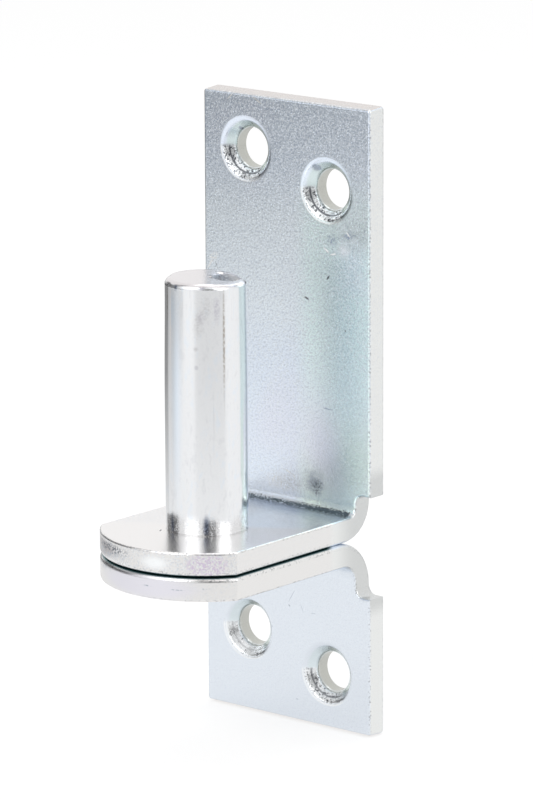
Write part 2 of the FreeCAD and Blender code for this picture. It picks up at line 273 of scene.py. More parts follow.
lamps = [  # azimuth and elevation in degrees, size in mm, power in watts
    {"name": "frontSoftbox", "azimuth": -2, "elevation": 34, "size": (560, 520), "power": 1.6},
    {"name": "rightSoftbox", "azimuth": 92, "elevation": 30, "size": (420, 520), "power": 1.2},
    {"name": "topSoftbox", "azimuth": -160, "elevation": 72, "size": (500, 500), "power": 1.1},
]

cards = [  # from and to azimuth, from and to elevation in degrees, and how bright the card is
    {"name": "viewerLowCard", "azimuth": (33, 66), "elevation": (1, 25), "level": 0.10},
    {"name": "viewerHighCard", "azimuth": (20, 42), "elevation": (25, 62), "level": 0.35},
    {"name": "leftLowCard", "azimuth": (-106, -47), "elevation": (1, 25), "level": 0.10},
    {"name": "leftHighCard", "azimuth": (-74, -45), "elevation": (25, 60), "level": 0.40},
]


def makeWorld(values):
    world = bpy.data.worlds.new("studio")
    finish = Finish(world)
    _, shown = finish.shownRays()
    strength = shown * (1 - values["skyLight"]) + values["skyLight"]
    finish.surface(finish.node("Background", sockets={"Color": white, "Strength": strength}))
    bpy.context.scene.world = world


def meshObject(name, shape):
    mesh = bpy.data.meshes.new(name)
    shape.to_mesh(mesh)
    shape.free()
    made = bpy.data.objects.new(name, mesh)
    bpy.context.scene.collection.objects.link(made)
    return made


def floorLevel(finish, values):  # 1 where the floor is plain white, less in its dark lobes
    across, along, _ = finish.parts(finish.place())
    radius = (across * across + along * along) ** 0.5

    def towards(azimuth):
        side, front = direction(azimuth).xy
        return (across * side + along * front) / (radius + 1.0)  # 1 mm more, as the middle has no direction

    far = finish.fade(radius, *values["pool"]) * values["poolDepth"]
    level = 1 - far * finish.fade(towards(values["poolAzimuth"]), *values["poolSides"])
    grown = finish.fade(radius, *values["lobes"])
    for lobe in floorLobes:
        edges = [math.cos(math.radians(angle)) for angle in lobe["reach"]]
        level = level * (1 - grown * finish.fade(towards(lobe["azimuth"]), *edges) * lobe["depth"])
    return level


def makeFloor(values, height):
    shape = bmesh.new()
    radius = values["floorRadius"] * millimetre
    bmesh.ops.create_circle(shape, cap_ends=True, segments=values["floorSides"], radius=radius)
    bmesh.ops.translate(shape, vec=(0, 0, height), verts=shape.verts)
    for face in shape.faces:
        if face.normal.z < 0:
            face.normal_flip()
    floor = meshObject("floor", shape)

    finish = Finish(bpy.data.materials.new("palePaper"))
    pool = floorLevel(finish, values)
    camera, shown = finish.shownRays()
    level = pool + camera * (1 - pool)
    glow = finish.lit(white, level * (camera * values["floorExtra"] + values["floorGlow"]))
    paper = finish.node("CombineColor", sockets={part: level * values["floorColour"] for part in range(3)})
    matt = finish.node("BsdfDiffuse", sockets={"Color": paper})
    seen = finish.node("AddShader", sockets={0: glow, 1: matt})
    plain = finish.node("BsdfDiffuse", sockets={"Color": values["plainColour"]})
    top = finish.shaded(shown, plain, seen)
    fromBelow = finish.node("NewGeometry", output="Backfacing")
    clear = finish.node("BsdfTransparent")
    floor.data.materials.append(finish.surface(finish.shaded(fromBelow, top, clear)))


def makeLamp(values):
    data = bpy.data.lights.new(values["name"], "AREA")
    data.shape = "RECTANGLE"
    data.size, data.size_y = (side * millimetre for side in values["size"])
    data.energy = values["power"]
    lamp = bpy.data.objects.new(values["name"], data)
    bpy.context.scene.collection.objects.link(lamp)
    away = direction(values["azimuth"], values["elevation"])
    lamp.matrix_world = aimedFrom(away * studio["lampDistance"], away)
    lamp.visible_camera = False


def between(pair, share):
    return pair[0] + share * (pair[1] - pair[0])


def makeCard(values):
    columns, rows = studio["cardGrid"]
    half = 0.5  # of the flat grid, which is then bent round the part
    shape = bmesh.new()
    bmesh.ops.create_grid(shape, x_segments=columns, y_segments=rows, size=half)
    for point in shape.verts:
        azimuth = between(values["azimuth"], point.co.x + half)
        elevation = between(values["elevation"], point.co.y + half)
        point.co = direction(azimuth, elevation) * (studio["cardDistance"] * millimetre)
    card = meshObject(values["name"], shape)
    card.visible_camera = False
    card.visible_diffuse = False
    card.visible_transmission = False
    card.visible_shadow = False
    finish = Finish(bpy.data.materials.new(values["name"]))
    card.data.materials.append(finish.surface(finish.lit(white, values["level"])))


makeWorld(studio)
makeFloor(studio, cadBox[0].z - studio["floorGap"] * millimetre)
for lamp in lamps:
    makeLamp(lamp)
for card in cards:
    makeCard(card)
print("studio built")


# marks in the plating, which both finishes use

upwards = (0, 0, 1)


# a mark's middle and half its sizes are in mm, and its turn in degrees, about +Y unless about is given
def mark(colour, at, size, **more):
    return {"colour": colour, "at": at, "size": size, **more}


def spotted(finish, colour, place, marks, values, specks):  # the marked colour, and how matt the marks are
    matt = 0.0
    for spot in marks:
        mask = finish.spot(place, spot)
        if spot.get("broken"):
            mask = mask * finish.fade(specks, *values["brokenSpecks"])
        if spot.get("dotted"):
            mask = mask * finish.fade(specks, *values["dottedSpecks"])
        if spot.get("matt"):
            matt = finish.most(mask * spot["matt"], matt)
        colour = finish.blended(mask, colour, values[spot["colour"]])
    return colour, matt


# zinc plating on the two sheets

plateLook = {
    "rolledColour": (0.815, 0.89, 0.99, 1.0),
    # middleColour: a lighter band across the middle height, painted light
    "middleColour": (0.87, 0.94, 1.0, 1.0),
    "tealColour": (0.84, 0.985, 0.99, 1.0),  # faint tints of the plating
    "greenColour": (0.86, 0.99, 0.92, 1.0),
    "lilacColour": (0.82, 0.85, 0.95, 1.0),
    "lowerColour": (0.79, 0.838, 0.898, 1.0),
    "duskColour": (0.50, 0.47, 0.47, 1.0),
    "paleColour": (0.78, 0.77, 0.83, 1.0),
    "smudgeColour": (0.42, 0.47, 0.53, 1.0),
    # the tongue's flat faces are a warmer, lighter copy of the plating, painted light
    "tongueColour": (0.87, 0.85, 0.84, 1.0),
    "sideColour": (0.81, 0.82, 0.81, 1.0),  # edges that were slit when the strip was made
    "endColour": (0.70, 0.655, 0.63, 1.0),  # edges that were sheared
    "outlineColour": (0.81, 0.80, 0.79, 1.0),  # the tongue's edge, which was blanked
    # the neck's slit edges, darker than the other edges: painted shade
    "neckShadeColour": (0.64, 0.65, 0.645, 1.0),
    "violetColour": (0.68, 0.60, 0.73, 1.0),
    # painted shade in the groove where the two tongues meet
    "grooveShadeColour": (0.05, 0.14, 0.15, 1.0),
    "landColour": (0.52, 0.525, 0.49, 1.0),
    "coneColour": (0.70, 0.80, 0.81, 1.0),
    # the dull crystals' colour, also the painted shade beside the upper bend
    "grainAndShadeColour": (0.40, 0.48, 0.62, 1.0),
    "faintColour": (0.62, 0.67, 0.74, 1.0),
    # painted glints and highlights: sparkles, light specks on edges, the light line round countersinks and
    # their torn side
    "glintColour": (0.94, 0.96, 0.97, 1.0),
    "strokeColour": (0.90, 0.955, 1.0, 1.0),
    # painted reflection: the tongue behind the pin is lighter
    "tongueBackColour": (0.96, 0.98, 0.99, 1.0),
    # the painted shade of the dark line in the upper bend, also used by one mark above it
    "bendColour": (0.10, 0.135, 0.16, 1.0),
    "pitAndShadowColour": (0.12, 0.13, 0.15, 1.0),
    "roughness": 0.27,

    # how squarely a surface faces: sideways, up or down, or towards the wall
    "squareOn": (0.6, 0.9),
    "slitFacing": (0.75, 0.95),
    "outlineFacing": (0.6, 0.3),
    "tongueFacing": (0.8, 0.95),
    "neckFacing": (0.8, 0.5),
    "edgeFacing": (0.04, 0.25),
    "rimFacing": (0.04, 0.16),

    # where the parts of a sheet are, in mm
    "middleHeight": 15.25,  # half way between the two sheared ends
    "endReach": (51.4, 51.7),
    "tongueReach": (15.0, 13.0),  # towards the wall, where the tongue's outline gives way to the bend
    "tongueFaceReach": (21.0, 19.0),
    "meeting": -4.0,  # the height where the two tongues lie on each other
    "grooveReach": (0.40, 0.14),
    "neckDepth": (14.0, 20.0),
    "neckAcross": (13.2, 13.6),
    "neckHeight": (13.0, 10.0),
    "edgeAcross": (13.4, 13.8),
    "frontReach": (22.8, 22.2),  # towards the wall, where the front's marks end

    # painted shade: the dark line in the upper bend, and the shade beside it
    "bendDepth": (17.9, 18.9),
    "bendAcross": (13.8, 13.4),
    "bendHeight": 0.28,
    "bendReach": (0.48, 0.20),
    "bendThinner": (10.0, -4.0, 0.0, 0.14),  # towards the left
    "bendRagged": 1.3,
    "bendNoise": (3.3, 1.0, 0.6),
    "shadeDepth": (12.0, 18.4),
    "shadeAcross": (-16.0, 4.0, 0.3, 1.0),
    "shadeShare": 0.8,

    # where the tints lie, in mm across and up
    # paleHeight and paleReach place the painted light of that middle band
    "paleHeight": 40.0,
    "paleReach": (17.0, 6.0),
    "tealAcross": (1.0, 6.0),
    "tealTop": (58.0, 46.0),
    "tealFoot": (-4.0, 0.0),
    "tealDrift": (0.20, 0.42),
    "driftNoise": (0.07, 2.0, 0.5),
    "greenTop": (20.0, 8.0),
    "lilacStretch": (1.3, 1.0, 0.8),
    "lilacNoise": (0.045, 1.0, 0.5),
    "lilacReach": (0.50, 0.8),
    "lowerTop": (-6.0, -10.0),

    # crystals: dull ones, and short bright ridges with gaps
    "grainHeights": (0.0, 48.0, 0.5, 0.85),  # they get stronger with height
    "crystalNoise": (2.9, 2.0, 0.65),
    "dullReach": (0.52, 0.36),
    "dullShare": 0.55,
    "ridgeNoise": (2.175, 1.0, 0.6),
    "ridgeReach": (0.06, 0.015),
    "gapStretch": (1.0, 1.0, 0.7),
    "gapNoise": (3.19, 0.0, 0.5),
    "gapReach": (0.44, 0.54),
    "brightShare": 0.85,
    "brightHeight": 0.8,
    "grainHeight": 0.013,  # mm
    "quietSlant": 0.6,  # the front left of the tongue is smooth up to a slanted line
    "quietReach": (3.0, -1.0),
    "quietShare": 0.85,
    "edgeCalm": 0.75,
    "backAcross": (-3.0, 2.0),
    "backGrain": 0.6,

    # specks along edges and in marks
    "speckNoise": (2.8, 2.0, 0.7),
    "darkSpecks": (0.53, 0.62),
    "darkShare": 0.4,
    # the light specks are painted highlights along the edges
    "litSpecks": (0.48, 0.40),
    "litShare": 0.35,
    "endLit": 1.6,
    "brokenSpecks": (0.42, 0.60),
}

holeLook = {  # radii and places towards the wall in mm
    "rim": 5.3,  # a painted highlight: the light line round a countersink's torn side
    "rimWidth": 0.28,
    "rimDepth": (21.0, 20.5),
    "rimShare": 0.8,
    "cone": (5.2, 4.9),
    "coneDepth": (22.4, 21.8),
    "coneStart": (20.2, 20.7),
    "conePlain": 0.3,  # how much of the cone's tint a sheet without grain has
    "throat": (3.25, 3.6),
    "land": (21.5, 22.2),  # where the straight bore starts
    "bore": (3.7, 3.5),
    "quiet": (5.9, 5.2),  # no crystals inside this
    "step": 4.15,  # a dark ring half way down
    "stepWidth": 0.2,
    "roughSide": (-0.45, -0.89),  # across and up, the side that the drill tore
    "roughEdge": (0.36, 0.52),
    "tornShare": 0.9,
    "craterNoise": (2.4, 3.0, 0.7),
    "craterHeight": 0.06,
    "pitReach": (0.49, 0.42),
    "calmCraters": 0.16,  # fewer pits where the drill tore less
    "calmStep": 8.0,
}

upperHoles = [(-8.5, 58.0, 1.0), (8.5, 53.0, 1.0)]  # across and up, and how badly the drill tore it
lowerHoles = [(-8.5, -22.5, 0.45), (8.5, -27.5, 0.8)]

upperMarks = [  # on the upright face: dents, scratches, sparkling patches with painted glints and the smudge above the bend
    mark("pitAndShadowColour", (8.8, 20, 38.8), (0.60, 1, 0.17), turn=52),
    mark("pitAndShadowColour", (4.3, 20, 34.9), (0.60, 1, 0.18), turn=-20),
    mark("pitAndShadowColour", (12.4, 20, 30.5), (0.16, 1, 0.22)),
    mark("strokeColour", (12.1, 20, 43.6), (2.0, 1, 1.8), core=0.0, ragged=0.6, matt=0.35),
    mark("grainAndShadeColour", (12.8, 20, 46.0), (2.4, 1, 1.0), turn=20, core=0.0, broken=True),
    mark("grainAndShadeColour", (9.7, 20, 44.9), (1.6, 1, 1.3), core=0.0, broken=True),
    mark("glintColour", (8.5, 20, 43.3), (0.75, 1, 0.20), turn=-38, matt=0.8),
    mark("glintColour", (9.9, 20, 42.8), (0.80, 1, 0.18), turn=12, matt=0.8),
    mark("glintColour", (13.0, 20, 46.4), (0.70, 1, 0.15), turn=-50, matt=0.8),
    mark("grainAndShadeColour", (8.7, 20, 36.3), (1.6, 1, 0.11), turn=20, broken=True),
    mark("grainAndShadeColour", (8.7, 20, 17.1), (1.3, 1, 0.10), turn=-4),
    mark("glintColour", (-11.8, 20, 66.3), (1.1, 1, 0.16), turn=42),
    mark("glintColour", (-6.0, 20, 66.2), (1.4, 1, 0.16), turn=-28),
    mark("glintColour", (-16.3, 20, 38.0), (1.5, 1, 0.16), turn=55),
    mark("pitAndShadowColour", (-14.9, 20, 37.9), (0.9, 1, 0.09), turn=-62, broken=True),
    mark("glintColour", (-15.6, 20, 39.2), (1.6, 1, 0.9), turn=35, broken=True),
    mark("smudgeColour", (5.7, 20, 4.5), (3.0, 2, 3.2), core=-0.3, ragged=0.8),
    mark("smudgeColour", (6.2, 20, 4.0), (3.0, 2, 2.6), core=0.1, ragged=0.8, broken=True),
    mark("bendColour", (6.3, 20, 3.8), (1.9, 2, 1.9), core=0.0, ragged=0.6, broken=True),
    mark("smudgeColour", (5.9, 20.9, 56.5), (1.0, 1.4, 0.8), ragged=0.6),
    mark("smudgeColour", (-10.6, 21.3, 61.0), (0.5, 1.0, 0.5), ragged=0.6),
    mark("glintColour", (-0.9, 20, 3.6), (5.2, 2, 2.0), core=0.0, ragged=0.6, broken=True),
    mark("faintColour", (0.9, 20, 3.6), (5.2, 2, 2.2), core=0.1, ragged=0.8, broken=True),
    mark("glintColour", (0.3, 20, 5.4), (0.9, 1, 0.15), turn=-24, matt=0.8),
    mark("glintColour", (1.5, 20, 4.8), (0.5, 1, 0.13), turn=-50, matt=0.8),
    mark("glintColour", (9.9, 20, 50.0), (0.10, 1, 2.2), turn=-12),
]

tongueMarks = [  # on the upper tongue: its dusky and violet edge, a painted highlight on that edge, and scratches on its top with painted glints
    mark("duskColour", (-11.0, -13.0, -1.9), (9.0, 8.0, 1.7), core=0.5, ragged=0.3),
    mark("smudgeColour", (-7.5, -14.5, -1.9), (8.5, 6.0, 1.7), core=0.3, ragged=0.6, broken=True),
    mark("pitAndShadowColour", (-6.5, -15.0, -1.4), (7.0, 5.0, 1.1), core=0.3, ragged=0.3, broken=True),
    mark("violetColour", (11.2, -13.0, -2.0), (4.2, 4.2, 2.3), broken=True),
    mark("glintColour", (3.5, -16.9, -2.0), (3.6, 2.0, 1.5), core=0.2),
    mark("glintColour", (6.5, 14.5, 0.0), (1.9, 0.14, 1), turn=24, about=upwards),
    mark("glintColour", (9.4, 11.8, 0.0), (1.5, 0.12, 1), turn=-18, about=upwards),
    mark("pitAndShadowColour", (-4.2, -6.6, 0.0), (0.7, 0.18, 1), turn=60, about=upwards),
]

lowerMarks = [  # on the lower sheet: a pale edge with dashes, and fine scratches on the upright face
    mark("paleColour", (1.0, -16.5, -6.0), (13.0, 8.0, 2.6), core=0.4),
    mark("smudgeColour", (2.3, -17.3, -5.9), (1.3, 1.3, 0.14), broken=True),
    mark("smudgeColour", (7.1, -15.4, -6.1), (1.6, 1.6, 0.12), broken=True),
    mark("smudgeColour", (10.5, -12.4, -5.8), (1.8, 1.8, 0.15), broken=True),
    mark("smudgeColour", (-9.0, -14.0, -4.9), (6.0, 5.0, 0.9), core=0.0, ragged=0.8, broken=True),
    mark("faintColour", (0.9, 20, -15.6), (1.7, 1, 0.11), turn=58),
    mark("faintColour", (3.1, 20, -17.3), (0.9, 1, 0.10), turn=-64),
    mark("smudgeColour", (0.4, 20, -17.3), (0.3, 1, 0.12), turn=-30),
    mark("faintColour", (5.6, 20, -17.8), (0.8, 1, 0.09), turn=4),
    mark("faintColour", (-3.4, 20, -21.5), (0.22, 1, 0.22)),
    mark("faintColour", (2.0, 20, -33.0), (0.30, 1, 0.16)),
]


def sheetZones(finish, place, values):  # masks of what a place on the sheet is
    across, depth, height = finish.parts(place)
    sideways, wallwards, level = (abs(part) for part in finish.facing())
    outer = abs(across)
    fromMeeting = abs(height - values["meeting"])

    zones = {"front": finish.fade(depth, *values["frontReach"])}
    end = finish.fade(abs(height - values["middleHeight"]), *values["endReach"])
    tongue = finish.fade(depth, *values["tongueReach"])
    zones["tongue"] = tongue
    zones["side"] = finish.fade(sideways, *values["slitFacing"])
    zones["outline"] = tongue * finish.fade(level, *values["outlineFacing"])
    tongueFace = finish.fade(depth, *values["tongueFaceReach"])
    zones["tongueFace"] = tongueFace * finish.fade(level, *values["tongueFacing"])
    zones["endFace"] = end * finish.fade(level, *values["squareOn"])
    zones["flat"] = finish.fade(level, *values["squareOn"])
    zones["upright"] = finish.fade(wallwards, *values["squareOn"])
    zones["groove"] = finish.fade(fromMeeting, *values["grooveReach"]) * tongue

    neck = finish.fade(depth, *values["neckDepth"]) * finish.fade(wallwards, *values["neckFacing"])
    neck = neck * finish.fade(outer, *values["neckAcross"])
    zones["neck"] = neck * finish.fade(fromMeeting, *values["neckHeight"])

    sideEdge = finish.fade(sideways * wallwards, *values["edgeFacing"]) * (1 - tongue)
    zones["sideEdge"] = sideEdge * finish.fade(outer, *values["edgeAcross"])
    zones["endEdge"] = finish.fade(level * wallwards, *values["edgeFacing"]) * end
    zones["rimEdge"] = finish.fade(level * (1 - level), *values["rimFacing"]) * tongue

    bend = finish.fade(depth, *values["bendDepth"]) * (1 - zones["side"]) * zones["front"]
    bend = bend * finish.fade(outer, *values["bendAcross"])
    ragged = finish.swing(place, values["bendNoise"]) * values["bendRagged"]
    reach = abs(height - values["bendHeight"]) + ragged + finish.fade(across, *values["bendThinner"])
    zones["bendLine"] = bend * finish.fade(reach, *values["bendReach"])
    shade = finish.fade(depth, *values["shadeDepth"]) * zones["tongueFace"]
    zones["bendShade"] = shade * finish.fade(across, *values["shadeAcross"])
    return zones


def holeZones(finish, place, holes, values):  # masks of the countersinks: a sum over the holes of a sheet
    across, depth, height = finish.parts(place)
    zones = dict.fromkeys(("quiet", "rim", "torn", "calm", "step", "land"), 0.0)
    for middleX, middleZ, share in holes:
        side, up = across - middleX, height - middleZ
        radius = (side * side + up * up) ** 0.5
        towards = (side * values["roughSide"][0] + up * values["roughSide"][1]) / radius
        tornSide = finish.fade(towards, *values["roughEdge"])
        cone = finish.fade(radius, *values["cone"]) * finish.fade(radius, *values["throat"])
        cone = cone * finish.fade(depth, *values["coneDepth"])
        rim = finish.fade(abs(radius - values["rim"]), values["rimWidth"], 0.0)
        step = finish.fade(abs(radius - values["step"]), values["stepWidth"], 0.0)
        land = finish.fade(depth, *values["land"]) * finish.fade(radius, *values["bore"])
        zones["quiet"] = finish.fade(radius, *values["quiet"]) + zones["quiet"]
        zones["rim"] = rim * finish.fade(depth, *values["rimDepth"]) * tornSide + zones["rim"]
        zones["torn"] = cone * tornSide + zones["torn"]
        zones["calm"] = cone * ((1 - share) * values["calmCraters"]) + zones["calm"]
        zones["step"] = step * cone + zones["step"]
        zones["land"] = land + zones["land"]
    return zones


def platingColour(finish, place, zones, values):
    across, _, height = finish.parts(place)
    pale = finish.fade(abs(height - values["paleHeight"]), *values["paleReach"])
    teal = finish.fade(across, *values["tealAcross"]) * finish.fade(height, *values["tealTop"])
    teal = teal * finish.fade(height, *values["tealFoot"]) * zones["upright"] * zones["front"]
    teal = teal * finish.fade(finish.noise(place, values["driftNoise"]), *values["tealDrift"])
    green = teal * finish.fade(height, *values["greenTop"])
    clouds = finish.noise(finish.stretched(place, values["lilacStretch"]), values["lilacNoise"])

    # pale: the lighter band across the middle height, painted light
    colour = finish.blended(pale, values["rolledColour"], values["middleColour"])
    for mask, tint in (
        (teal, "tealColour"),
        (green, "greenColour"),
        (finish.fade(clouds, *values["lilacReach"]), "lilacColour"),
        (finish.fade(height, *values["lowerTop"]), "lowerColour"),
        # painted light: the tongue's lighter, warmer faces
        (finish.most(zones["tongueFace"], zones["tongue"]), "tongueColour"),
        (zones["side"], "sideColour"),
        (zones["outline"], "outlineColour"),
        (zones["endFace"], "endColour"),
        # painted shade: the neck's darker edges
        (zones["neck"], "neckShadeColour"),
    ):
        colour = finish.blended(mask, colour, values[tint])
    return colour


# these two give the colour with what they add, and the height that it stands up
def addCrystals(finish, place, colour, zones, quietHoles, values, grainShare):
    across, depth, height = finish.parts(place)
    quiet = finish.fade(depth - across * values["quietSlant"], *values["quietReach"]) * zones["flat"]
    # back: where the tongue behind the pin gets its painted reflection and more grain
    back = zones["tongueFace"] * (1 - quiet) * finish.fade(across, *values["backAcross"])
    strength = finish.fade(height, *values["grainHeights"]) * grainShare
    strength = strength * (1 - quiet * values["quietShare"]) * (1 - quietHoles * values["quietShare"])
    strength = strength + back * grainShare * values["backGrain"]

    crystals = finish.noise(place, values["crystalNoise"])
    ridges = finish.fade(abs(finish.swing(place, values["ridgeNoise"])), *values["ridgeReach"])
    gaps = finish.noise(finish.stretched(place, values["gapStretch"]), values["gapNoise"])
    bright = ridges * finish.fade(gaps, *values["gapReach"])
    dull = finish.fade(crystals, *values["dullReach"])
    seen = (1 - finish.most(zones["side"], zones["endFace"]) * values["edgeCalm"]) * strength

    colour = finish.blended(back, colour, values["tongueBackColour"])
    colour = finish.blended(dull * seen * values["dullShare"], colour, values["grainAndShadeColour"])
    # painted shade on the tongue beside the upper bend
    colour = finish.blended(zones["bendShade"] * values["shadeShare"], colour, values["grainAndShadeColour"])
    colour = finish.blended(bright * seen * values["brightShare"], colour, values["strokeColour"])
    return colour, (crystals + bright * values["brightHeight"]) * strength


def addCountersinks(finish, place, colour, front, hole, values, look, grainShare):
    depth = finish.parts(place)[1]
    craters = finish.noise(place, values["craterNoise"]) + hole["calm"]
    pit = hole["torn"] * finish.fade(craters, *values["pitReach"])
    step = hole["step"] * hole["torn"] * (1 - hole["calm"] * values["calmStep"])
    cone = finish.fade(depth, *values["coneStart"]) * hole["quiet"] * front
    cone = cone * (1 - hole["torn"]) * (1 - hole["land"]) * between((values["conePlain"], 1.0), grainShare)
    for mask, tint in (
        (cone, "coneColour"),
        # painted highlights: the light line round the rim and glints on the torn side
        (hole["rim"] * values["rimShare"], "glintColour"),
        (hole["land"], "landColour"),
        (hole["torn"] * values["tornShare"], "glintColour"),
        (finish.most(pit, step), "pitAndShadowColour"),
    ):
        colour = finish.blended(mask, colour, look[tint])
    return colour, hole["torn"] * craters * (values["craterHeight"] / look["grainHeight"])


def addEdgeSpecks(finish, colour, zones, values, specks, grainShare):
    dark = finish.fade(specks, *values["darkSpecks"]) * values["darkShare"]
    # the light specks are painted highlights along the edges
    light = finish.fade(specks, *values["litSpecks"]) * (values["litShare"] * grainShare)
    darkEdge = finish.most(zones["sideEdge"], zones["rimEdge"])
    lightEdge = finish.most(zones["endEdge"] * values["endLit"], zones["sideEdge"])
    colour = finish.blended(darkEdge * dark, colour, values["pitAndShadowColour"])
    colour = finish.blended(lightEdge * light, colour, values["glintColour"])
    # and the painted shade of the dark line in the upper bend
    return finish.blended(zones["bendLine"], colour, values["bendColour"])


def sheetFinish(name, values, holes, marks, grainShare):
    finish = Finish(bpy.data.materials.new(name))
    place = finish.place()
    specks = finish.noise(place, values["speckNoise"])
    zones = sheetZones(finish, place, values)
    hole = holeZones(finish, place, holes, holeLook)
    hole["quiet"] = hole["quiet"] * zones["front"]

    colour = platingColour(finish, place, zones, values)
    colour, relief = addCrystals(finish, place, colour, zones, hole["quiet"], values, grainShare)
    colour = addEdgeSpecks(finish, colour, zones, values, specks, grainShare)
    colour, tears = addCountersinks(
        finish, place, colour, zones["front"], hole, holeLook, values, grainShare,
    )
    colour, matt = spotted(finish, colour, place, marks, values, specks)
    # painted shade in the groove where the two tongues meet
    colour = finish.blended(zones["groove"], colour, values["grooveShadeColour"])

    height = values["grainHeight"] * millimetre
    bump = finish.node("Bump", sockets={"Distance": height, "Height": relief + tears})
    sockets = {"Base Color": colour, "Metallic": 1 - matt, "Roughness": values["roughness"], "Normal": bump}
    return finish.surface(finish.node("BsdfPrincipled", sockets=sockets))


for name, holes, marks, grainShare in (  # the lower sheet's crystals are fainter
    ("upper_plate", upperHoles, upperMarks + tongueMarks, 1.0),
    ("lower_plate", lowerHoles, lowerMarks, 0.4),
):
    sheetZinc = sheetFinish(name + "Zinc", plateLook, holes, marks, grainShare)
    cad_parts[name].data.materials[0] = sheetZinc
print("plates finished")


# pin, turned from bar, with a torn top and a foot that is peened underneath

pinLow, pinHigh = (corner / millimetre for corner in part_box("pintle_pin"))
pinShape = {
    "radius": pinHigh.x,
    "top": pinHigh.z,
    "foot": 0.0,  # the upper tongue's top face
    "tenonRadius": 4.5,
    "rivetStart": -6.5,
    "rivetRadius": 6.0,
    "rivetEnd": pinLow.z,
    "sides": 160,
    "topRings": 36,
    "shankRings": 54,
    "rivetRings": 14,
    "rimRounding": 0.95,
    "rimSteps": 7,
    "rimRoom": 0.05,  # between the end of the rounding and the next ring
    "upset": 0.15,  # the shank bulges this much where the riveting pressed it
    "upsetHeights": (22.0, 40.0),
    "hammerDome": 0.35,
    "hammerMarks": 0.07,
    "hammerGrain": 0.45,
    "hammerStart": Vector((7, 3, 0)),  # where in the noise the marks are taken
    "near": 0.001,  # two heights or radii are the same within this
    "skinDepth": 0.01,
    "mergeReach": 0.0001,
    "sharpAngle": 38,
}

topScar = {  # the end was sheared from bar and tore at one side
    "towards": math.radians(40.3),  # from +X to +Y, the torn side
    "middle": (3.2, 1.0),  # mm along that direction and across it
    "size": (2.3, 3.2),
    "edge": (0.55, 1.05),
    "depth": 0.55,
    "roughness": 0.22,
    "grains": (1.7, 4.1),
    "fineGrain": 0.5,  # the second grain's share
    "slopeFrom": 1.0,
    "slopeReach": (-0.4, 0.8),
    "slope": 0.10,
    "slopeRoughness": 0.05,
    "burr": {"at": (1.1, 0.2), "size": (0.45, 0.9), "height": 0.12},
    "chip": {"at": (2.4, 5.3), "size": (1.2, 0.6), "height": -0.12},
    "lip": {"at": (2.6, 4.0), "size": (1.5, 0.4), "height": 0.14},
    "partEdge": (0.3, 1.0),
    "rimDents": 0.06,
    "dentReach": (2.2, 0.5),  # mm in from the pin's skin
    "dentGrain": 0.55,
    "dentStart": Vector((3, 1, 0)),
    "dentLift": 0.25,
    "squareBack": 0.7,  # how much of the rim's rounding is missing at the back
    "squareBeside": (1.5, 4.5),
    "squareReach": (1.0, 0.8),
    "reachDown": 0.8,  # the share of the rounding, from the top, that is torn with it
}


def turnedBody(values):
    room = values["rimRounding"] + values["rimRoom"]
    outline = [
        (0, values["top"]),
        (values["radius"] - room, values["top"]),
        (values["radius"], values["top"]),
        (values["radius"], values["top"] - room),
        (values["radius"], values["foot"]),
        (values["tenonRadius"], values["foot"]),
        (values["tenonRadius"], values["rivetStart"]),
        (values["rivetRadius"], values["rivetEnd"]),
        (0, values["rivetEnd"]),
    ]
    shape = bmesh.new()
    points = [shape.verts.new((radius, 0, height)) for radius, height in outline]
    lines = [shape.edges.new(pair) for pair in zip(points, points[1:])]
    for line, cuts in ((lines[0], "topRings"), (lines[3], "shankRings"), (lines[-1], "rivetRings")):
        bmesh.ops.subdivide_edges(shape, edges=[line], cuts=values[cuts])
    bmesh.ops.spin(
        shape, geom=shape.verts[:] + shape.edges[:], cent=(0, 0, 0), axis=upwards,
        angle=math.tau, steps=values["sides"], use_merge=True,
    )
    bmesh.ops.remove_doubles(shape, verts=shape.verts, dist=values["mergeReach"])
    bmesh.ops.recalc_face_normals(shape, faces=shape.faces)
    return shape


def roundRim(shape, values):
    def onRim(point):
        offTop = abs(point.co.z - values["top"])
        offSkin = abs(point.co.xy.length - values["radius"])
        return offTop < values["near"] and offSkin < values["near"]

    bmesh.ops.bevel(
        shape, geom=[edge for edge in shape.edges if all(onRim(point) for point in edge.verts)],
        offset=values["rimRounding"], offset_type="OFFSET", affect="EDGES",
        segments=values["rimSteps"], profile=0.5, material=-1, clamp_overlap=False,
    )


def eased(value, low, high):
    share = min(max((value - low) / (high - low), 0.0), 1.0)
    return share * share * (3 - 2 * share)


def bulgeShank(shape, values):
    for point in shape.verts:
        reach = point.co.xy.length
        if point.co.z >= values["foot"] and reach > values["radius"] - values["skinDepth"]:
            point.co.xy *= 1 + values["upset"] * (1 - eased(point.co.z, *values["upsetHeights"])) / reach


def ellipseReach(along, beside, part):  # 1 on the edge of a part of the scar
    places = zip((along, beside), part.get("at", part.get("middle")), part["size"])
    return math.hypot(*((place - middle) / size for place, middle, size in places))


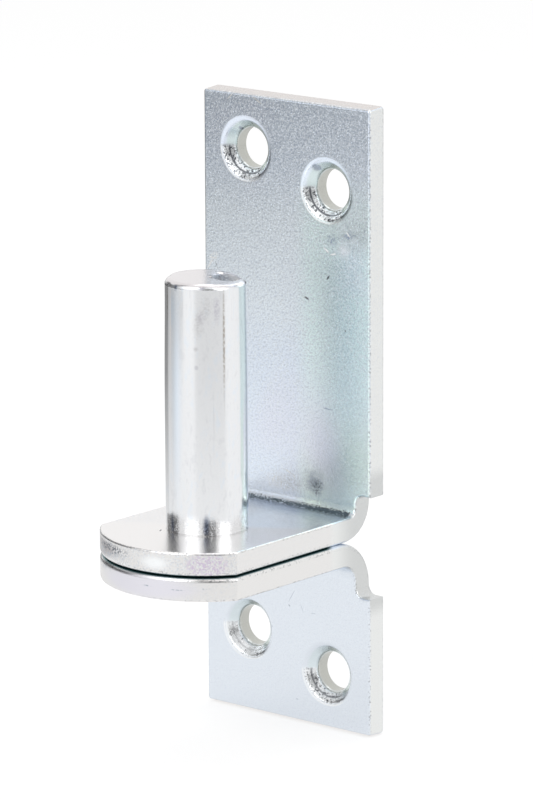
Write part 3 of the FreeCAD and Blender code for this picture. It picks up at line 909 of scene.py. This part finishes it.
def tearTop(shape, values, scar):
    turn = scar["towards"]
    slopeStart, slopeEnd = (scar["slopeFrom"] + shift for shift in scar["slopeReach"])
    dentStart, dentEnd = (values["radius"] - inward for inward in scar["dentReach"])
    squareStart, squareEnd = (values["radius"] - inward for inward in scar["squareReach"])
    for point in shape.verts:
        if point.co.z < values["top"] - values["rimRounding"] * scar["reachDown"]:
            continue
        along = point.co.x * math.cos(turn) + point.co.y * math.sin(turn)
        beside = point.co.y * math.cos(turn) - point.co.x * math.sin(turn)
        away = point.co.xy.length
        coarse, fine = (noise.noise(point.co * grain) for grain in scar["grains"])
        rough = coarse + scar["fineGrain"] * fine

        hollow = 1 - eased(ellipseReach(along, beside, scar), *scar["edge"])
        slope = max(along - scar["slopeFrom"], 0) * scar["slope"] + scar["slopeRoughness"] * rough
        drop = hollow * (scar["depth"] + scar["roughness"] * rough)
        drop += eased(along, slopeStart, slopeEnd) * slope

        back = scar["squareBack"] * eased(beside, *scar["squareBeside"])
        back *= eased(away, squareStart, squareEnd)
        if away > 0:
            point.co.xy *= 1 + (values["radius"] - away) * back / away
        point.co.z += (values["top"] - point.co.z) * back

        dents = noise.noise(point.co * scar["dentGrain"] + scar["dentStart"]) + scar["dentLift"]
        drop += scar["rimDents"] * eased(away, dentStart, dentEnd) * max(dents, 0)
        for name in ("burr", "chip", "lip"):
            near = ellipseReach(along, beside, scar[name])
            drop -= scar[name]["height"] * (1 - eased(near, *scar["partEdge"]))
        point.co.z -= drop


def peenRivet(shape, values):
    lowest = values["rivetEnd"] + values["near"]
    widest = values["rivetRadius"] - values["near"]
    for point in shape.verts:
        reach = point.co.xy.length
        if point.co.z < lowest and reach < widest:
            share = 1 - (reach / values["rivetRadius"]) ** 2
            marks = noise.noise(point.co * values["hammerGrain"] + values["hammerStart"])
            point.co.z -= share * values["hammerDome"] + share * values["hammerMarks"] * marks


def makePin(values, scar):
    shape = turnedBody(values)
    roundRim(shape, values)
    bulgeShank(shape, values)
    tearTop(shape, values, scar)
    peenRivet(shape, values)
    bmesh.ops.scale(shape, vec=(millimetre,) * 3, verts=shape.verts)
    made = meshObject("turned_pin", shape)
    made.data.shade_smooth()
    made.data.set_sharp_from_angle(angle=math.radians(values["sharpAngle"]))
    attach(made, "root")
    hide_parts("pintle_pin")
    return made


pinLook = {
    "colour": (0.84, 0.85, 0.865, 1.0),
    "topColour": (0.76, 0.73, 0.74, 1.0),
    "tornColour": (0.30, 0.32, 0.35, 1.0),
    # painted highlights: a light line down the pin, the lip and far end of the torn patch, and glints in it
    "highlightColour": (0.93, 0.90, 0.89, 1.0),
    "streakColour": (0.70, 0.71, 0.74, 1.0),
    "blueColour": (0.76, 0.83, 0.91, 1.0),
    # painted reflections: dark lines down the pin
    "warmReflectionColour": (0.42, 0.385, 0.34, 1.0),
    "violetColour": (0.58, 0.57, 0.64, 1.0),
    # dark pits, and the painted shadow under the chip on the pin's end
    "pitAndShadowColour": (0.14, 0.14, 0.16, 1.0),
    # painted reflections: dark blue bands at the foot and a spot on the rim
    "blueReflectionColour": (0.22, 0.26, 0.36, 1.0),
    "shadeColour": (0.66, 0.66, 0.67, 1.0),

    "roughness": 0.15,
    "topRoughness": 0.20,
    "rimRoughness": 0.32,
    "tornRoughness": 0.50,

    # where the parts of the skin are, in mm, from the top or from the foot
    "topDown": (1.3, 0.9),
    "topFacing": (0.35, 0.75),
    "rimDown": (1.2, 0.6),
    "footReach": (3.2, 1.2),  # the skin gets rougher towards the foot
    # footRing: painted shade in the joint where the pin meets the tongue
    "footRing": (0.30, 0.12, 0.0, 0.7),
    "tornRagged": 0.4,
    "tornReach": (1.25, 1.0),
    # tornShade: painted light, the torn patch lighter towards its far end
    "tornShade": (-0.2, 1.1, 0.0, 0.7),
    "tornPits": (0.48, 0.40),
    # tornSparks: painted glints in the torn patch
    "tornSparks": (0.62, 0.70),

    # streaks along the pin, fine grain, and soft blue and grey clouds
    "gritNoise": (3.4, 3.0, 0.7),
    "streakStretch": (1.0, 1.0, 0.03),
    "streakNoise": (2.4, 3.0, 0.6),
    "streakShare": (0.58, 0.75, 0.0, 0.5),
    "fineNoise": (3.0, 2.0, 0.6),
    "fineShare": (0.60, 0.72, 0.0, 0.35),
    "cloudStretch": (1.0, 1.0, 0.4),
    "cloudNoise": (0.9, 3.0, 0.65),
    "blueShare": (0.52, 0.70, 0.0, 0.45),
    "greyShare": (0.46, 0.30, 0.0, 0.40),
    "speckNoise": (3.0, 2.0, 0.7),
    "footSpecks": (0.55, 0.62),
    "brokenSpecks": (0.34, 0.66, 0.2, 0.9),
    "dottedSpecks": (0.40, 0.52, 0.15, 1.0),

    "streakHeight": 0.004,  # mm, and the others as shares of it
    "fineHeight": 0.6,
    "tornHeight": 8.0,
    "footHeight": 5.0,
    "rimHeight": 4.0,
}

pinMarks = [  # the pin's skin is 6.5 mm from its axis
    # painted reflections: two dark lines down the pin
    mark("warmReflectionColour", (6.0, -2.54, 30.0), (0.23, 0.34, 15.0), core=0.2, dotted=True),
    mark("warmReflectionColour", (-2.99, -5.77, 37.0), (0.24, 0.24, 4.6), core=0.2, dotted=True),
    # painted reflection: a blue band near the top on the left
    mark("blueColour", (-1.4, -6.35, 36.6), (1.1, 1.0, 4.6), core=0.0, ragged=0.6),
    mark("violetColour", (5.45, -3.60, 36.8), (0.70, 0.90, 3.2), core=0.0, ragged=0.6, broken=True),
    mark("violetColour", (3.6, -5.45, 35.6), (0.9, 0.9, 1.5), core=0.0, ragged=0.6, broken=True),
    mark("streakColour", (3.0, -5.8, 27.6), (0.45, 0.4, 0.5)),
    # painted reflection: a long blue band down the left
    mark("blueColour", (-0.6, -6.47, 24.0), (1.7, 1.7, 26.0), core=0.0),
    # painted highlight: a light line down the pin
    mark("highlightColour", (-2.02, -6.2, 30.0), (0.13, 0.13, 16.0)),
    # painted reflections: a dark blue and a violet spot on the rim
    mark("blueReflectionColour", (-0.65, -6.3, 40.5), (0.55, 0.9, 1.1), core=0.1),
    mark("violetColour", (3.75, -5.1, 40.6), (0.75, 0.9, 0.7), core=0.1),
    mark("shadeColour", (4.3, -4.9, 37.2), (1.3, 1.1, 2.8), core=0.0, ragged=0.8, broken=True),
    mark("shadeColour", (3.3, -5.6, 34.6), (1.4, 1.3, 3.2), core=0.0, ragged=0.8, broken=True),
    mark("shadeColour", (2.9, -5.8, 30.6), (0.6, 0.6, 0.6), core=0.0, ragged=0.8),
    # painted reflections: dark blue bands at the foot
    mark("blueReflectionColour", (-1.7, -6.27, 1.4), (0.75, 0.6, 2.8), core=0.1, ragged=0.6),
    mark("blueReflectionColour", (4.2, -4.95, 1.4), (0.75, 0.9, 3.0), core=0.1, ragged=0.6),
]

topMarks = [  # on the pin's end: a painted shadow under the chip, painted highlights on the lip and the torn patch's far end, and dark pits
    mark("pitAndShadowColour", (-1.4, 5.2, 40.9), (1.0, 0.45, 1.4), core=0.5, turn=-40, about=upwards),
    mark("highlightColour", (-0.9, 4.3, 41.0), (1.0, 0.3, 0.9), turn=-40, about=upwards),
    mark("pitAndShadowColour", (0.3, 1.3, 41.0), (1.1, 0.7, 0.6), turn=20, about=upwards, broken=True),
    mark("pitAndShadowColour", (1.3, 0.2, 41.0), (0.9, 0.6, 0.6), broken=True),
    mark("highlightColour", (5.0, 2.0, 40.6), (0.9, 2.6, 1.2), turn=-40, about=upwards),
]


def scarShares(finish, place, scar):  # how far along and beside the scar's middle, in its own half sizes
    across, depth, _ = finish.parts(place)
    turn = scar["towards"]
    along = across * math.cos(turn) + depth * math.sin(turn)
    beside = depth * math.cos(turn) - across * math.sin(turn)
    places = zip((along, beside), scar["middle"], scar["size"])
    return [(part - middle) / size for part, middle, size in places]


def pinFinish(name, values, marks, scar):
    finish = Finish(bpy.data.materials.new(name))
    place = finish.place()
    height = finish.parts(place)[2]
    grit = finish.noise(place, values["gritNoise"])
    streak = finish.noise(finish.stretched(place, values["streakStretch"]), values["streakNoise"])
    fine = finish.noise(place, values["fineNoise"])
    specks = finish.noise(place, values["speckNoise"])
    clouds = finish.noise(finish.stretched(place, values["cloudStretch"]), values["cloudNoise"])

    topStart, topEnd = (pinShape["top"] - down for down in values["topDown"])
    rimStart, rimEnd = (pinShape["top"] - down for down in values["rimDown"])
    top = finish.fade(height, topStart, topEnd) * finish.fade(finish.facing()[2], *values["topFacing"])
    rim = finish.fade(height, rimStart, rimEnd) * (1 - top)
    foot = finish.fade(height, *values["footReach"])
    along, beside = scarShares(finish, place, scar)
    reach = (along * along + beside * beside) ** 0.5
    torn = top * finish.fade(reach + grit * values["tornRagged"], *values["tornReach"])

    colour = values["colour"]
    for mask, tint in (
        (finish.fade(streak, *values["streakShare"]), "streakColour"),
        (finish.fade(fine, *values["fineShare"]), "streakColour"),
        (finish.fade(clouds, *values["blueShare"]), "blueColour"),
        (finish.fade(clouds, *values["greyShare"]), "streakColour"),
    ):
        colour = finish.blended(mask, colour, values[tint])
    colour, _ = spotted(finish, colour, place, marks, values, specks)
    for mask, tint in (
        # painted shade in the ring at the foot, painted light towards the torn patch's far end, and painted
        # glints in it
        (finish.fade(height, *values["footRing"]), "shadeColour"),
        (top, "topColour"),
        (torn, "tornColour"),
        (torn * finish.fade(grit, *values["tornPits"]), "pitAndShadowColour"),
        (torn * finish.fade(along, *values["tornShade"]), "shadeColour"),
        (torn * finish.fade(grit, *values["tornSparks"]), "highlightColour"),
    ):
        colour = finish.blended(mask, colour, values[tint])
    colour, _ = spotted(finish, colour, place, topMarks, values, specks)

    grain = foot * values["footHeight"] + rim * values["rimHeight"] + values["fineHeight"]
    relief = streak * (1 - top) + torn * grit * values["tornHeight"] + fine * grain
    height = values["streakHeight"] * millimetre
    bump = finish.node("Bump", sockets={"Distance": height, "Height": relief})
    skin = values["roughness"]
    rough = rim * (values["rimRoughness"] - skin) + skin
    rough = rough + foot * finish.fade(specks, *values["footSpecks"]) * (values["tornRoughness"] - skin)
    rough = rough + top * (values["topRoughness"] - skin)
    rough = rough + torn * (values["tornRoughness"] - values["topRoughness"])
    sockets = {"Base Color": colour, "Metallic": 1.0, "Roughness": rough, "Normal": bump}
    return finish.surface(finish.node("BsdfPrincipled", sockets=sockets))


pin = makePin(pinShape, topScar)
pin.data.materials.append(pinFinish("pinZinc", pinLook, pinMarks, topScar))
print("pin turned and finished")
